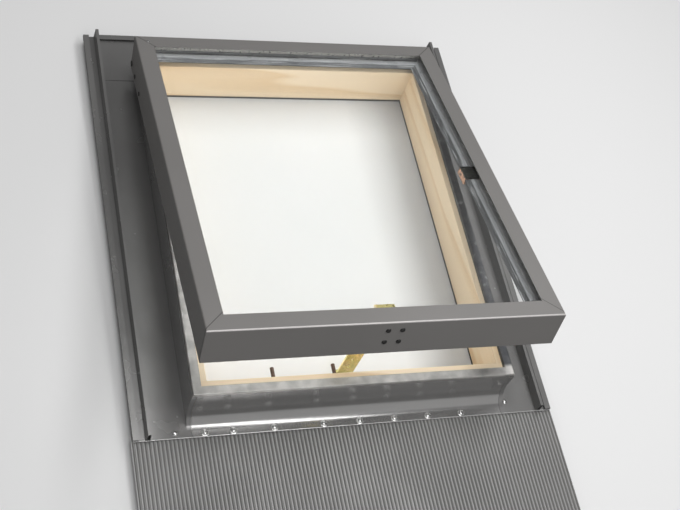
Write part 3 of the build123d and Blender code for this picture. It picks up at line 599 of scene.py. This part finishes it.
# Stay of yellow passivated steel: a bracket riveted behind the foot rail, a lug and a punched flat bar.
# The passivation runs from olive to gold, as it does on such plated steel.
yellow_zinc = new_material("yellow_zinc", metallic=1.0, roughness=0.3)
where = place_on(yellow_zinc)
drift = noise(yellow_zinc, where, scale=45, detail=3, roughness=0.6)
grime = noise(yellow_zinc, where, scale=200, detail=3)
passivation = ramp(
    yellow_zinc,
    drift,
    (0.3, (0.62, 0.58, 0.20)),
    (0.48, (0.80, 0.70, 0.28)),
    (0.6, (0.88, 0.70, 0.33)),
    (0.75, (0.66, 0.66, 0.30)),
)
feed(yellow_zinc, Base_Color=passivation, Roughness=spread(yellow_zinc, grime, low=0.22, high=0.4))
dress(yellow_zinc, "stay_bracket", "stay_lug", "stay_pivot", "stay_bar")


# Pale studio floor just under the window, and not a part of it.
# It is darker where it lights the window than where the camera or the glass shows it.
def flat_sheet(name, width, length, height, material):
    """Makes a level rectangle round the middle, at a height."""
    shape = bmesh.new()
    bmesh.ops.create_grid(shape, x_segments=1, y_segments=1, size=0.5)
    place = Matrix.Translation((0, 0, height)) @ Matrix.Diagonal((width, length, 1, 1))
    bmesh.ops.transform(shape, matrix=place, verts=shape.verts)
    mesh = bpy.data.meshes.new(name)
    shape.to_mesh(mesh)
    shape.free()
    mesh.materials.append(material)
    sheet = bpy.data.objects.new(name, mesh)
    bpy.context.scene.collection.objects.link(sheet)
    return sheet


window_foot = cad_box[0][2]
floor_white = new_material("floor_white", metallic=0.0, roughness=0.9)
rays = add(floor_white, "LightPath", {}).outputs
floor_colour = (0.28, 0.277, 0.274, 1)
for ray, pale in (("Is Glossy Ray", 0.25), ("Is Transmission Ray", 0.76), ("Is Camera Ray", 0.86)):
    floor_colour = mix(floor_white, rays[ray], floor_colour, (pale, pale, pale, 1))
feed(floor_white, Base_Color=floor_colour)
floor = flat_sheet("floor", width=24, length=24, height=window_foot - 0.0002, material=floor_white)

# Pale card that fills the opening of the frame from below, also not a part of the window.
# It is shaded towards the right board and the head, so that the glass shows a soft depth.
opening_w = 2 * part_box("frame_jamb_right")[0][0]
opening_l = -2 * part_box("frame_sill")[1][1]
jamb_shade = (0.10, 0.17)
head_shade = (0.17, 0.235)
card_white = new_material("card_white", metallic=0.0, roughness=0.9)
on_card = parts_of(card_white, place_on(card_white))
by_jamb = spread(card_white, on_card["X"], 1.0, 0.62, *jamb_shade)
by_head = spread(card_white, on_card["Y"], 1.0, 0.75, *head_shade)
shade = reckon(card_white, "MULTIPLY", by_jamb, by_head)
feed(card_white, Base_Color=ramp(card_white, shade, (0.0, (0.0, 0.0, 0.0)), (1.0, (0.71, 0.715, 0.72))))
opening_card = flat_sheet("opening_card", opening_w, opening_l, window_foot, card_white)

# Soft light from all sides, a long strip that the flashing mirrors, a wide lamp in front and one above.
# A faint lamp between the boards lights them from the card. The camera sees none of the lamps.
world = bpy.data.worlds.new("studio")
world.use_nodes = True
bpy.context.scene.world = world
world.node_tree.nodes["Background"].inputs["Color"].default_value = (1.0, 1.0, 1.0, 1)
world.node_tree.nodes["Background"].inputs["Strength"].default_value = 0.21
for name, place, target, along, length, width, power in (
    ("strip_lamp", (0.44, -0.025, 1.336), (0.44, -0.04, 0.03), (0.64, 1.85, 0), 1.96, 0.22, 11),
    ("front_lamp", (0.2, -2.3, 1.2), (0, -0.2, 0.05), (1, 0, 0), 3.6, 3.6, 18),
    ("top_lamp", (-0.25, 0.25, 2.5), (-0.15, 0.25, 0.05), (1, 0, 0), 0.9, 0.9, 16.5),
    ("card_lamp", (0, 0, window_foot + 0.002), (0, 0, 1), (1, 0, 0), 0.34, 0.42, 0.14),
):
    lamp = bpy.data.lights.new(name, "AREA")
    lamp.shape = "RECTANGLE"
    lamp.size, lamp.size_y = length, width
    lamp.energy = power
    holder = bpy.data.objects.new(name, lamp)
    bpy.context.scene.collection.objects.link(holder)
    back = (Vector(place) - Vector(target)).normalized()
    across = back.cross(Vector(along)).normalized()
    turn = Matrix((across.cross(back), across, back)).transposed().to_4x4()
    holder.matrix_world = Matrix.Translation(place) @ turn
    holder.visible_camera = False
    holder.visible_transmission = False

# Camera at the photograph's viewing angle, from the lower left and above.
# Its place is in metres, and its three directions say which way the picture's right, top and depth go.
lens = bpy.data.cameras.new("camera")
lens.sensor_width = 36
lens.lens = 63.16
lens.clip_end = 60
camera = bpy.data.objects.new("camera", lens)
bpy.context.scene.collection.objects.link(camera)
stands_at = (-0.5280, -0.8483, 1.3494)
right = Vector((0.94043, -0.19835, 0.27611))
up = Vector((0.02487, 0.85013, 0.52599))
ahead = Vector((0.33908, 0.48781, -0.80441))
camera.matrix_world = Matrix.Translation(stands_at) @ Matrix((right, up, -ahead)).transposed().to_4x4()
bpy.context.scene.camera = camera
bpy.context.scene.view_settings.view_transform = "Standard"
